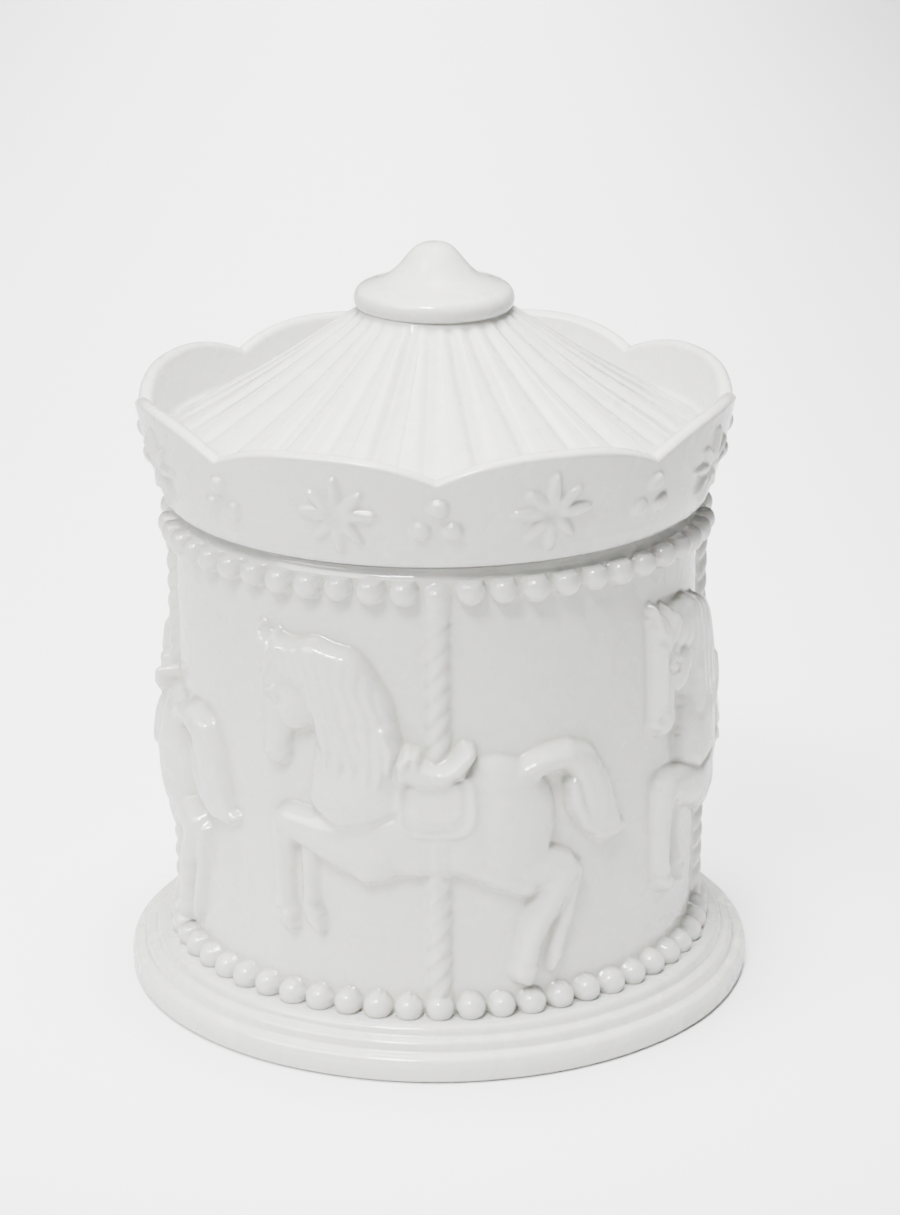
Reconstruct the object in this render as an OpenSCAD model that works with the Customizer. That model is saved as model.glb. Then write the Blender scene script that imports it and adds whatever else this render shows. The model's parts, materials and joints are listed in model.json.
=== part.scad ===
// Carousel music box: a glazed ceramic drum on a stepped foot, with four horses in relief, a scalloped
// canopy that turns and lifts off, and an 18-note clockwork movement inside the drum.
// Millimetres. +Z is up and the origin is the centre of the foot's underside. The front is towards -Y.

/* [Ceramic] */
// Radius of the drum's wall, outside
drum_r = 54; // [53.8:0.1:54.4]
// Radius of the drum's wall, inside
drum_in_r = 49.5; // [49.2:0.1:50]
// Height of the drum's mouth
drum_top = 103.6; // [103:0.1:103.8]
// Underside of the floor that the movement stands on
floor_z = 16; // [15.8:0.1:16]
// Thickness of the floor
floor_t = 5; // [4.8:0.1:5]
// Radius of the beads
bead_r = 2.8; // [2.6:0.1:3]
// Number of beads round the top of the drum
top_beads = 53; // [48:1:56]
// Number of beads round the bottom of the drum
low_beads = 55; // [48:1:56]
// Radius of a horse's pole
pole_r = 2.9; // [2.4:0.1:3]
// Height of the relief of a horse's body above the drum's wall
relief = 5.2; // [4:0.1:7]
// Number of grooves in the canopy's roof
roof_grooves = 28; // [20:1:30]

/* [Turning gear] */
// Radius of the rod and of the winding arbor
rod_r = 2; // [1.9:0.05:2.1]
// Play between a turning shaft and its bearing, in radius
play = 0.05; // [0.03:0.01:0.08]
// Radius of the turntable
table_r = 32; // [30:0.5:32]
// Thickness of the rubber grip ring
grip_t = 1.5; // [1:0.1:1.5]

/* [Movement] */
// Teeth of the main wheel's face gear
main_teeth = 48; // [48]
// Teeth of the cylinder's pinion
pinion_teeth = 12; // [12]
// Module of the face gear
main_m = 0.72; // [0.72]
// Teeth of the cylinder's wheel
wheel_teeth = 30; // [30]
// Teeth of the governor's pinion
gov_teeth = 10; // [10]
// Module of the cylinder's wheel
wheel_m = 0.45; // [0.45]
// Teeth of the worm wheel
worm_teeth = 24; // [24]
// Module of the worm wheel
worm_m = 0.5; // [0.5]
// Notes in the comb
notes = 18; // [12:1:18]
// Radius of the pinned cylinder
cyl_r = 6.2; // [6:0.1:6.2]

/* [Hidden] */
$fn = 96;
FN_SMALL = 32;

// Levels
floor_top = floor_z + floor_t;
plate_z = floor_top + 1;             // the fibre washers are 1 thick
plate_t = 3;
plate_top = plate_z + plate_t;
housing_r = 15.4;
housing_top = plate_top + 11;
ledge_z = 90;
ledge_r = 47.2;
deck_t = 2.2;
table_z = 114.5;
table_t = 2;
seat_z = table_z + table_t + grip_t;
canopy_z = drum_top + 0.8;
neck_r = 51.6;                       // the neck stands inside the canopy's band and closes the gap
neck_z = drum_top + 3.4;
band_top = 128;
crest_z = 127.6;
notch_z = 122.8;

// Roof line, from the collar to the inside of the band
roof_in = [15, 143];
roof_out = [56.6, 115.9];
roof_slope = (roof_in[1] - roof_out[1]) / (roof_out[0] - roof_in[0]);
roof_t = 4.8;
function roof_at(r) = roof_in[1] - (r - roof_in[0]) * roof_slope;

// Outside of the canopy's band: height and radius
band = [[canopy_z + 0.6, 56.1], [107.6, 57.2], [111, 58.3], [115, 59.3], [119, 60.3], [123, 61.1],
    [crest_z, 61.9]];

// Gear train. Every wheel below the main wheel is worked out from the teeth and the modules.
face_r = main_teeth * main_m / 2;
pinion_r = pinion_teeth * main_m / 2;
axle_z = plate_top + 8.22;           // height of the cylinder's axis
face_z = axle_z + pinion_r;          // pitch plane of the face gear
wheel_r = wheel_teeth * wheel_m / 2;
gov_r = gov_teeth * wheel_m / 2;
gov_y = -(wheel_r + gov_r);
worm_wheel_r = worm_teeth * worm_m / 2;
worm_pitch_r = 1.5;
worm_y = gov_y - worm_wheel_r - worm_pitch_r;
worm_x = 39.5;
worm_lead = PI * worm_m;
cyl_x = 21;
cyl_len = 15;
wheel_x = cyl_x + cyl_len + 0.6;
gov_frame_x = 34.8;
frame_top = 48.4;
post_x = [19.3, 40.4];
post_t = 1.2;
arbor_r = 1;
spindle_r = 0.6;
gov_arbor_r = 0.8;
floor_bolts = [[-13, 13], [-13, -13], [38, 10]];
housing_bolts = [90, 180, 270];
housing_bolt_r = 17.9;
comb_bolts = [24, 28.75, 33.5];
comb_y = 16;
comb_bed_y = [15.8, 22];
frame_bolts = [[36.4, -14], [33.2, -9.2]];

// ---- Shared shapes ----

// Turns local +X to the azimuth a, counted from the front towards +X
module facing(a) {
    rotate([0, 0, a - 90]) children();
}

// Stands a drawing of (sideways, up) upright and gives it depth outwards from r0
module upright(r0, depth) {
    translate([r0, 0, 0]) rotate([90, 0, 90]) linear_extrude(depth) children();
}

// Lays a solid that is built along +Z along +X, starting at x
module along_x(x, y, z) {
    translate([x, y, z]) rotate([0, 90, 0]) children();
}

module tube(r_out, r_in, h) {
    difference() {
        cylinder(r = r_out, h = h);
        translate([0, 0, -1]) cylinder(r = r_in, h = h + 2);
    }
}

// A pan-head screw, head downwards at z = 0, with a slot
module screw(head_r, head_h, shank_r, shank_len) {
    difference() {
        union() {
            cylinder(r = head_r, h = head_h, $fn = FN_SMALL);
            cylinder(r = shank_r, h = head_h + shank_len, $fn = FN_SMALL);
        }
        translate([-head_r - 1, -head_r * 0.14, -1]) cube([head_r * 2 + 2, head_r * 0.28, 1 + head_h * 0.45]);
    }
}

// A curve through the points p of a closed outline, with n steps to each side of it
function spot(p, i) = p[(i + len(p)) % len(p)];
function curve_at(a, b, c, d, t) =
    0.5 * (2 * b + (c - a) * t + (2 * a - 5 * b + 4 * c - d) * t * t + (3 * b - a - 3 * c + d) * t * t * t);
function rounded(p, n) = [for (i = [0 : len(p) - 1], s = [0 : n - 1])
    curve_at(spot(p, i - 1), spot(p, i), spot(p, i + 1), spot(p, i + 2), s / n)];

// Involute gear outline. slack is the share of the tooth that is taken away as backlash.
function involute(a) = tan(a) * 180 / PI - a;
function half_tooth(teeth, m, r, slack) =
    let (base = teeth * m / 2 * cos(20))
    90 / teeth * (1 - slack) + involute(20) - involute(r > base ? acos(base / r) : 0);
function gear_points(teeth, m, slack, top, turn) =
    let (p = teeth * m / 2, radii = [p - 1.1 * m, p - 0.45 * m, p, p + top * m])
    [for (i = [0 : teeth - 1], side = [-1, 1], k = [0 : 3])
        let (r = radii[side < 0 ? k : 3 - k], a = turn + i * 360 / teeth + side * half_tooth(teeth, m, r, slack))
        [r * cos(a), r * sin(a)]];
module gear(teeth, m, slack, top, turn, width, bore) {
    difference() {
        linear_extrude(width) polygon(gear_points(teeth, m, slack, top, turn));
        translate([0, 0, -1]) cylinder(r = bore, h = width + 2, $fn = FN_SMALL);
    }
}

// ---- Drum ----

// Half section of foot, wall and floor
module drum_section() {
    polygon([[57.8, 0], [64.4, 0], [65.4, 0.7], [65.7, 2], [65.7, 3.8], [65.3, 4.9], [64.2, 5.4],
        [63.1, 5.6], [62.9, 6.6], [62.5, 7.4], [61.5, 7.7], [60.6, 7.9], [60.3, 8.8], [59.7, 9.5], [58.4, 9.7],
        [drum_r, 9.7], [drum_r, drum_top - 2.4], [drum_r - 0.8, drum_top - 1.4], [drum_r - 0.9, drum_top - 0.5],
        [drum_r - 1.5, drum_top], [neck_r, drum_top], [neck_r, neck_z - 0.4], [neck_r - 0.4, neck_z],
        [drum_in_r + 0.4, neck_z], [drum_in_r, neck_z - 0.4],
        [drum_in_r, ledge_z], [ledge_r, ledge_z], [ledge_r, ledge_z - 2], [drum_in_r, ledge_z - 5],
        [drum_in_r, floor_top], [0, floor_top], [0, floor_z], [47, floor_z], [49.3, 14.5], [50, 11],
        [54.5, 7], [57.4, 2.5]]);
}

// Outlines of a horse as (distance round the wall, height). It gallops towards -X.
horse_body = [[-39, 89.6], [-36.6, 87], [-34, 87.9], [-28, 88.6], [-22, 88.2], [-17.8, 86.2], [-14, 82.6],
    [-11.2, 78.3], [-9, 73.6], [-6, 68], [0, 63.6], [8.5, 65.4], [13, 65.9], [18, 65.3], [22, 63.2],
    [25, 60.5], [25.8, 56.5], [25.6, 50.5], [24.5, 46], [20, 37.5], [13, 38.5], [8, 40.5], [2, 42],
    [-5, 41.7], [-10, 42.5], [-14, 40.8], [-18, 40.5], [-22, 43.5], [-24, 50], [-27.2, 58], [-27, 62.5],
    [-25.3, 67.5], [-24.6, 70.5], [-28, 70.3], [-31.4, 67.3], [-31.6, 64], [-34, 62.1], [-38, 62.5],
    [-39.6, 65.5], [-40, 72.5], [-39.5, 80.5]];
horse_foreleg = [[-15, 50.5], [-20, 52], [-25, 53.7], [-32, 54.3], [-36.5, 52.3], [-37.3, 47.5], [-37.2, 38.5],
    [-36.8, 31], [-35.5, 27.5], [-33, 26], [-31.5, 29], [-31, 32.5], [-31.4, 46], [-25, 44], [-18, 40.5]];
horse_far_foreleg = [[-30.5, 47], [-30.3, 33.5], [-30, 28.5], [-27, 25.8], [-24.3, 27], [-24.6, 31.5],
    [-26.4, 34.5], [-26.6, 45]];
horse_hind_leg = [[16, 46], [24, 47], [28.5, 43], [31.4, 39.5], [28.5, 35], [25, 30], [22.5, 24.5], [21, 20],
    [20, 16.7], [16, 17.3], [15, 20.5], [16, 24.5], [18, 31], [19.5, 38]];
horse_far_hind_leg = [[27, 38], [31.6, 39], [30.5, 34.5], [28, 27.5], [26.5, 21.5], [25.5, 18.1], [23, 17.5],
    [24, 22.5], [25.5, 28.5]];
horse_tail = [[20, 61.8], [21, 64.6], [24.5, 66.9], [29, 67.8], [33, 66], [36, 61], [38.3, 55], [41, 49.5],
    [42.3, 46.8], [40.3, 44.7], [36, 45.1], [33, 47.3], [31, 51.5], [29.8, 57.5], [28, 61], [24, 61.5]];
horse_saddle = [[-8.2, 66.8], [-5.8, 68.9], [-4, 67.8], [-3, 65.7], [0, 64], [2.4, 65.7], [4.4, 67.8], [7.2, 68.4],
    [8.8, 66.3], [8, 63.8], [7.4, 58.5], [6.6, 53], [4, 50.3], [0, 50.1], [-4, 51.3], [-7, 55.3], [-8.2, 60]];

// A point on the wall, seen straight from the front
horse_r = drum_r + 3.5;
function flat(p) = [horse_r * sin(p[0] / horse_r * 180 / PI), p[1]];

module raised(outline, height) {
    intersection() {
        upright(20, 50) polygon([for (p = rounded(outline, 2)) flat(p)]);
        tube(drum_r + height, drum_r - 2, drum_top);
    }
}

module horse() {
    raised(horse_far_foreleg, relief - 2.8);
    raised(horse_far_hind_leg, relief - 2.8);
    raised(horse_tail, relief - 1.2);
    raised(horse_foreleg, relief - 1.2);
    raised(horse_hind_leg, relief - 1.2);
    raised(horse_body, relief);
    raised(horse_saddle, relief + 0.9);
}

// Angle between a bead and the pole nearest to it
function from_pole(a) = min([for (q = [0 : 90 : 360]) abs(a - q)]);

module bead_row(count, z) {
    for (i = [0 : count - 1])
        if (z < 50 || from_pole(i * 360 / count) > 4)
            facing(i * 360 / count) translate([drum_r + 1, 0, z]) sphere(r = bead_r, $fn = 24);
}

module drum_casting() color("ivory") {
    difference() {
        union() {
            rotate_extrude() drum_section();
            for (a = [0 : 90 : 270]) facing(a) {
                horse();
                translate([drum_r - 0.6, 0, 12]) cylinder(r = pole_r, h = 88.6, $fn = FN_SMALL);
            }
            bead_row(low_beads, 11.6);
            bead_row(top_beads, 99.2);
        }
        translate([0, 0, floor_z - 1]) cylinder(r = 6, h = floor_t + 2);
        for (p = floor_bolts) translate([p[0], p[1], floor_z - 1]) cylinder(r = 2, h = floor_t + 2, $fn = FN_SMALL);
    }
}

// ---- Canopy ----

module canopy_section() {
    polygon(concat([[52.6, canopy_z], [55.4, canopy_z]], [for (b = band) [b[1], b[0]]],
        [[61.2, band_top], [58.6, band_top], [57.9, crest_z - 1], [57.2, 117], roof_out, roof_in,
        [14.6, 143.6], [15.6, 144.5], [16, 145.7], [15.5, 147], [14.2, 147.9], [11.2, 148.5], [8.7, 150],
        [6.7, 151.9], [4.9, 153.8], [3, 155.1], [1.3, 155.7], [0, 155.8], [0, 148], [2.5, 147], [6, 142.5],
        [11, 140.4], [15, roof_at(15) - roof_t], [26.5, roof_at(26.5) - roof_t], [26.5, seat_z],
        [table_r + 0.5, seat_z], [table_r + 0.5, table_z + 0.1], [35.5, table_z + 0.1],
        [35.5, roof_at(35.5) - roof_t], [53.3, roof_at(53.3) - roof_t]]));
}

// Height of the band's edge at a distance u from a notch
function scallop(u) = crest_z - (crest_z - notch_z) * pow(max(0, 1 - abs(u) / 23.5), 2.6);

module petal() {
    polygon([[0, 0.5], [3.5, 1], [6.4, 1.25], [8.2, 0.6], [8.2, -0.6], [6.4, -1.25], [3.5, -1], [0, -0.5]]);
}

module star() {
    intersection() {
        upright(50, 20) translate([0, 115]) for (i = [0 : 7]) rotate(i * 45 + 90) petal();
        rotate_extrude() polygon(concat([for (b = band) [b[1] + 0.9, b[0]]],
            [for (i = [len(band) - 1 : -1 : 0]) [band[i][1] - 2, band[i][0]]]));
    }
}

module dot(u, z) {
    facing(u / 59 * 180 / PI) translate([lookup(z, band) - 1, 0, z]) sphere(r = 2.2, $fn = 24);
}

module canopy_casting() color("ivory") {
    difference() {
        union() {
            rotate_extrude() canopy_section();
            // One star sits off centre, as it was placed by hand
            for (a = [0 : 45 : 315]) {
                facing(a + (a == 315 ? 26.2 : 22.5)) star();
                rotate([0, 0, a]) for (p = [[0, 117.3], [-3.1, 112.5], [3.1, 112.5]]) dot(p[0], p[1]);
            }
        }
        for (a = [0 : 45 : 315]) facing(a)
            upright(50, 20) polygon(concat([for (u = [-24 : 3 : 24]) [u, scallop(u)]], [[24, 135], [-24, 135]]));
        for (i = [0 : roof_grooves - 1]) facing(10.2 + i * 360 / roof_grooves)
            translate([17.2, 0, roof_at(17.2) + 0.35]) rotate([0, 90 + atan(roof_slope), 0])
                cylinder(r = 0.9, h = 44.5, $fn = FN_SMALL);
    }
}

// ---- Deck ----

module deck() color("black") {
    translate([0, 0, ledge_z]) tube(drum_in_r - 0.5, 5, deck_t);
}

module deck_bush() color("goldenrod") {
    translate([0, 0, ledge_z - 2]) difference() {
        union() {
            cylinder(r = 5, h = deck_t + 2, $fn = FN_SMALL);
            translate([0, 0, deck_t + 2]) cylinder(r = 7.5, h = 1.2);
        }
        translate([0, 0, -1]) cylinder(r = rod_r + play, h = 10, $fn = FN_SMALL);
    }
}

// ---- Bedplate, housing and spring ----

module bedplate() color("silver") {
    difference() {
        translate([0, 0, plate_z]) linear_extrude(plate_t) union() {
            circle(r = 21);
            translate([0, -19.5]) square([42.5, 41.5]);
        }
        translate([0, 0, plate_z - 1]) cylinder(r = rod_r + play, h = plate_t + 2, $fn = FN_SMALL);
        for (p = floor_bolts) translate([p[0], p[1], plate_z - 1]) cylinder(r = 1.5, h = 3.5, $fn = FN_SMALL);
        for (a = housing_bolts) rotate([0, 0, a])
            translate([housing_bolt_r, 0, plate_z + 0.6]) cylinder(r = 0.95, h = plate_t, $fn = FN_SMALL);
        for (x = comb_bolts) translate([x, 19, plate_z + 0.6]) cylinder(r = 0.95, h = plate_t, $fn = FN_SMALL);
        for (p = frame_bolts) translate([p[0], p[1], plate_z + 0.6]) cylinder(r = 0.95, h = plate_t, $fn = FN_SMALL);
    }
}

module spring_housing() color("gainsboro") {
    difference() {
        union() {
            translate([0, 0, plate_top]) cylinder(r = housing_r, h = housing_top - plate_top);
            for (a = housing_bolts) rotate([0, 0, a]) translate([0, -2.6, plate_top]) cube([housing_bolt_r, 5.2, 1.2]);
            for (a = housing_bolts) rotate([0, 0, a])
                translate([housing_bolt_r, 0, plate_top]) cylinder(r = 2.6, h = 1.2, $fn = FN_SMALL);
        }
        translate([0, 0, plate_top - 1]) cylinder(r = housing_r - 0.8, h = housing_top - plate_top + 0.2);
        translate([0, 0, housing_top - 2]) cylinder(r = rod_r + play, h = 4, $fn = FN_SMALL);
        for (a = housing_bolts) rotate([0, 0, a])
            translate([housing_bolt_r, 0, plate_top - 1]) cylinder(r = 1, h = 4, $fn = FN_SMALL);
    }
}

module housing_screws() color("silver") {
    for (a = housing_bolts) rotate([0, 0, a]) translate([housing_bolt_r, 0, plate_top + 2.4])
        mirror([0, 0, 1]) screw(1.7, 1.2, 0.95, 3.4);
}

// Flat spiral strip between the arbor's core and the housing's wall
spring_turns = 7;
spring_in_r = 3.7;
spring_out_r = housing_r - 1.4;
module mainspring() color("slategray") {
    steps = spring_turns * 20;
    r = [for (i = [0 : steps]) spring_in_r + (spring_out_r - spring_in_r) * i / steps];
    translate([0, 0, plate_top + 1.2]) linear_extrude(8) polygon(concat(
        [for (i = [0 : steps]) r[i] * [cos(i * 18), sin(i * 18)]],
        [for (i = [steps : -1 : 0]) (r[i] - 0.35) * [cos(i * 18), sin(i * 18)]]));
}

// ---- Winding arbor, key, main wheel ----

module winding_arbor() color("silver") {
    translate([0, 0, 6.5]) cylinder(r = rod_r, h = 43, $fn = FN_SMALL);
    translate([0, 0, plate_top + 0.6]) cylinder(r = 3.1, h = 9.2, $fn = FN_SMALL);
    translate([0, 0, 43.8]) cylinder(r = 2.3, h = 1.8, $fn = FN_SMALL);
}

module winding_key() color("gold") {
    difference() {
        union() {
            translate([0, 0, 9]) cylinder(r = 3.6, h = 6.4, $fn = FN_SMALL);
            translate([0, 0.75, 2]) rotate([90, 0, 0]) linear_extrude(1.5) difference() {
                union() {
                    translate([-4, 0]) square([8, 9]);
                    for (s = [-1, 1]) translate([s * 6, 4.8]) circle(r = 4.6, $fn = FN_SMALL);
                }
                for (s = [-1, 1]) translate([s * 6.6, 4.8]) circle(r = 1.6, $fn = FN_SMALL);
            }
        }
        translate([0, 0, 6.5]) cylinder(r = rod_r, h = 12, $fn = FN_SMALL);
    }
}

// The face gear's teeth point down at the cylinder's pinion, and a gap stands over the pinion at rest
module main_wheel() color("goldenrod") {
    tooth_half = PI * main_m / 4 * 0.7;
    top = 0.8 * main_m;
    root = 1.1 * main_m;
    difference() {
        union() {
            translate([0, 0, face_z + root]) cylinder(r = 18.8, h = 2);
            translate([0, 0, housing_top + 0.4]) cylinder(r = 4.2, h = 5, $fn = FN_SMALL);
            translate([0, 0, housing_top + 0.4]) cylinder(r = 2.6, h = 7.2, $fn = FN_SMALL);
            for (i = [0 : main_teeth - 1]) rotate([0, 0, (i + 0.5) * 360 / main_teeth])
                upright(15.9, 2.8) translate([0, face_z]) polygon([
                    [-tooth_half - root * tan(20), root + 0.3], [-tooth_half + top * tan(20), -top],
                    [tooth_half - top * tan(20), -top], [tooth_half + root * tan(20), root + 0.3]]);
        }
        cylinder(r = rod_r + play, h = 60, $fn = FN_SMALL);
        for (a = [30 : 72 : 359]) rotate([0, 0, a]) translate([10, 0, 30]) cylinder(r = 3, h = 20, $fn = FN_SMALL);
    }
}

module clutch_spring() color("silver") {
    turns = 5;
    translate([0, 0, housing_top + 5.6])
        linear_extrude(turns * 0.8, twist = -360 * turns, slices = turns * 14, $fn = 6)
            translate([3.1, 0]) circle(r = 0.3);
}

// ---- Pinned cylinder ----

module cylinder_barrel() {
    along_x(cyl_x, 0, axle_z) difference() {
        cylinder(r = cyl_r, h = cyl_len);
        translate([0, 0, 0.8]) tube(cyl_r - 0.7, arbor_r + 0.8, cyl_len - 1.6);
        translate([0, 0, -1]) cylinder(r = arbor_r, h = cyl_len + 2, $fn = FN_SMALL);
    }
}

note_pitch = 0.78;
note_x = cyl_x + (cyl_len - note_pitch * (notes - 1)) / 2;
module cylinder_() color("goldenrod") {
    cylinder_barrel();
    for (n = [0 : notes - 1], k = [0 : 3])
        translate([note_x + n * note_pitch, 0, axle_z]) rotate([n * 47 + k * 83 + n * k * 11, 0, 0])
            translate([0, 0, cyl_r - 0.5]) cylinder(r = 0.2, h = 1, $fn = 6);
}

module cylinder_arbor() color("silver") {
    along_x(15.8, 0, axle_z) cylinder(r = arbor_r, h = 26.3, $fn = FN_SMALL);
}

module cylinder_pinion() color("silver") {
    along_x(16, 0, axle_z) gear(pinion_teeth, main_m, 0.3, 0.8, 0, 2.6, arbor_r);
}

module cylinder_wheel() color("goldenrod") {
    along_x(wheel_x, 0, axle_z) gear(wheel_teeth, wheel_m, 0.3, 0.8, 0, 1.2, arbor_r);
}

module cylinder_bearings() color("silver") {
    for (x = post_x) difference() {
        translate([x, -1.8, plate_top]) cube([post_t, 3.6, 10.8]);
        along_x(x - 1, 0, axle_z) cylinder(r = arbor_r + play, h = 4, $fn = FN_SMALL);
    }
}

// ---- Comb ----

comb_z = axle_z - 0.6;
module comb_bed() color("silver") {
    difference() {
        translate([20.5, comb_bed_y[0], plate_top]) cube([16.5, comb_bed_y[1] - comb_bed_y[0], comb_z - plate_top]);
        for (x = comb_bolts) translate([x, 19, plate_top - 1]) cylinder(r = 1, h = 20, $fn = FN_SMALL);
    }
}

// Front edge of the comb's back, where its teeth begin
function comb_edge(x) = comb_y - 2.6 * (x - 20.7) / 16.1;

module comb() color("lightsteelblue") {
    difference() {
        translate([0, 0, comb_z]) linear_extrude(1) polygon(concat(
            [[20.7, comb_y], [20.7, comb_y + 5.8], [36.8, comb_y + 5.8], [36.8, comb_y - 2.6]],
            [for (n = [notes - 1 : -1 : 0], p = [[0.3, 1], [0.3, 0], [-0.3, 0], [-0.3, 1]])
                let (x = note_x + n * note_pitch + p[0]) [x, p[1] == 1 ? comb_edge(x) : cyl_r + 0.6]]));
        for (x = comb_bolts) translate([x, 19, comb_z - 1]) cylinder(r = 1, h = 3, $fn = FN_SMALL);
    }
}

module comb_screws() color("steelblue") {
    for (x = comb_bolts) translate([x, 19, comb_z + 2.3]) mirror([0, 0, 1])
        screw(1.7, 1.3, 0.95, comb_z + 1 - plate_z - 0.6);
}

// ---- Governor ----

module governor_frame() color("silver") {
    difference() {
        union() {
            translate([31.5, -18.2, plate_top]) cube([10.5, 11, 1.2]);
            translate([gov_frame_x, gov_y - 1.9, plate_top]) cube([0.8, 3.7, 11]);
            translate([41, gov_y - 2, plate_top]) cube([1, 4, 11]);
            translate([31.5, -18.2, plate_top]) cube([2, 3.4, frame_top - plate_top]);
            translate([31.5, -18.2, frame_top - 1.2]) cube([9.5, 3.4, 1.2]);
            translate([worm_x, worm_y, plate_top]) cylinder(r = 1.6, h = 3.2, $fn = FN_SMALL);
        }
        along_x(30, gov_y, axle_z) cylinder(r = gov_arbor_r + play, h = 14, $fn = FN_SMALL);
        translate([worm_x, worm_y, plate_top + 1.4]) cylinder(r = spindle_r + play, h = 4, $fn = FN_SMALL);
        translate([worm_x, worm_y, frame_top - 3]) cylinder(r = spindle_r + play, h = 6, $fn = FN_SMALL);
        for (p = frame_bolts) translate([p[0], p[1], plate_top - 1]) cylinder(r = 1, h = 4, $fn = FN_SMALL);
    }
}

module frame_screws() color("silver") {
    for (p = frame_bolts) translate([p[0], p[1], plate_top + 2.3]) mirror([0, 0, 1]) screw(1.5, 1.1, 0.95, 3.4);
}

module governor_arbor() color("silver") {
    along_x(34.4, gov_y, axle_z) cylinder(r = gov_arbor_r, h = 8, $fn = FN_SMALL);
}

// A tooth of this pinion stands in a gap of the cylinder's wheel at rest
module governor_pinion() color("silver") {
    along_x(wheel_x - 0.2, gov_y, axle_z) gear(gov_teeth, wheel_m, 0.3, 0.8, 180 / gov_teeth, 1.6, gov_arbor_r);
}

module worm_wheel() color("goldenrod") {
    along_x(worm_x - 0.5, gov_y, axle_z) gear(worm_teeth, worm_m, 0.45, 0.6, 0, 1, gov_arbor_r);
}

module worm() color("silver") {
    turns = 4;
    difference() {
        translate([worm_x, worm_y, axle_z - turns / 2 * worm_lead]) rotate([0, 0, 270])
            linear_extrude(turns * worm_lead, twist = -360 * turns, slices = turns * 14, $fn = 12)
                translate([0.45, 0]) circle(r = 1.3);
        translate([worm_x, worm_y, 20]) cylinder(r = spindle_r + 0.03, h = 30, $fn = 12);
    }
}

module worm_spindle() color("silver") {
    translate([worm_x, worm_y, plate_top + 1.6])
        cylinder(r = spindle_r, h = frame_top + 0.3 - plate_top - 1.6, $fn = FN_SMALL);
}

module fan() color("goldenrod") {
    translate([worm_x, worm_y, 40.5]) difference() {
        union() {
            translate([-5, -0.3, 0]) cube([10, 0.6, 6]);
            cylinder(r = 1.4, h = 6, $fn = FN_SMALL);
        }
        translate([0, 0, -1]) cylinder(r = spindle_r, h = 8, $fn = FN_SMALL);
    }
}

// ---- Fasteners through the floor ----

module floor_screws() color("silver") {
    for (p = floor_bolts) translate([p[0], p[1], floor_z - 2.8]) screw(2.8, 1.8, 1.5, floor_t + 4.4);
}

module steel_washers() color("gainsboro") {
    for (p = floor_bolts) translate([p[0], p[1], floor_z - 1]) tube(4, 1.6, 1);
}

module fibre_washers() color("firebrick") {
    for (p = floor_bolts) translate([p[0], p[1], floor_top]) tube(4.5, 1.6, 1);
}

// ---- Rod and turntable ----

module shaft_coupling() color("goldenrod") {
    difference() {
        translate([0, 0, 46.2]) cylinder(r = 4.5, h = 7.6, $fn = FN_SMALL);
        translate([0, 0, 40]) cylinder(r = rod_r, h = 20, $fn = FN_SMALL);
        for (z = [48, 52]) translate([0, 0, z]) rotate([0, 90, 0]) cylinder(r = 0.9, h = 7, $fn = FN_SMALL);
    }
}

module grub_screws() color("dimgray") {
    for (z = [48, 52]) translate([rod_r + 0.05, 0, z]) rotate([0, 90, 0]) difference() {
        cylinder(r = 0.9, h = 2.2, $fn = FN_SMALL);
        translate([-2, -0.15, 1.6]) cube([4, 0.3, 2]);
    }
}

module drive_rod() color("silver") {
    difference() {
        translate([0, 0, 49.5]) cylinder(r = rod_r, h = table_z + table_t - 49.5, $fn = FN_SMALL);
        translate([0, 0, table_z - 6]) cylinder(r = 1.2, h = 20, $fn = FN_SMALL);
    }
}

module turntable() color("silver") {
    difference() {
        union() {
            translate([0, 0, table_z]) cylinder(r = table_r, h = table_t);
            translate([0, 0, table_z - 8.5]) cylinder(r = 7, h = 8.6);
        }
        translate([0, 0, table_z - 10]) cylinder(r = rod_r, h = 20, $fn = FN_SMALL);
        for (a = [0 : 60 : 300]) rotate([0, 0, a]) translate([16, 0, table_z - 1]) cylinder(r = 4.5, h = 5);
    }
}

module turntable_screw() color("silver") {
    translate([0, 0, table_z + table_t + 1.9]) mirror([0, 0, 1]) screw(3.4, 1.9, 1.2, 7);
}

module grip_ring() color("dimgray") {
    translate([0, 0, table_z + table_t]) tube(table_r - 0.6, 27, grip_t);
}

drum_casting();
canopy_casting();
deck();
deck_bush();
bedplate();
spring_housing();
housing_screws();
mainspring();
winding_arbor();
winding_key();
main_wheel();
clutch_spring();
cylinder_();  // cylinder
cylinder_arbor();
cylinder_pinion();
cylinder_wheel();
cylinder_bearings();
comb_bed();
comb();
comb_screws();
governor_frame();
frame_screws();
governor_arbor();
governor_pinion();
worm_wheel();
worm();
worm_spindle();
fan();
floor_screws();
steel_washers();
fibre_washers();
shaft_coupling();
grub_screws();
drive_rod();
turntable();
turntable_screw();
grip_ring();
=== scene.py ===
"""Looks of the carousel music box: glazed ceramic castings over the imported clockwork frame.

Lengths below are in millimetres and become metres when a mesh is made. An azimuth is an angle round
the carousel's axis, counted from the front (-Y) towards +X.
"""

import json
import math

import bpy
import numpy as np
from mathutils import Matrix, Vector


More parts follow.
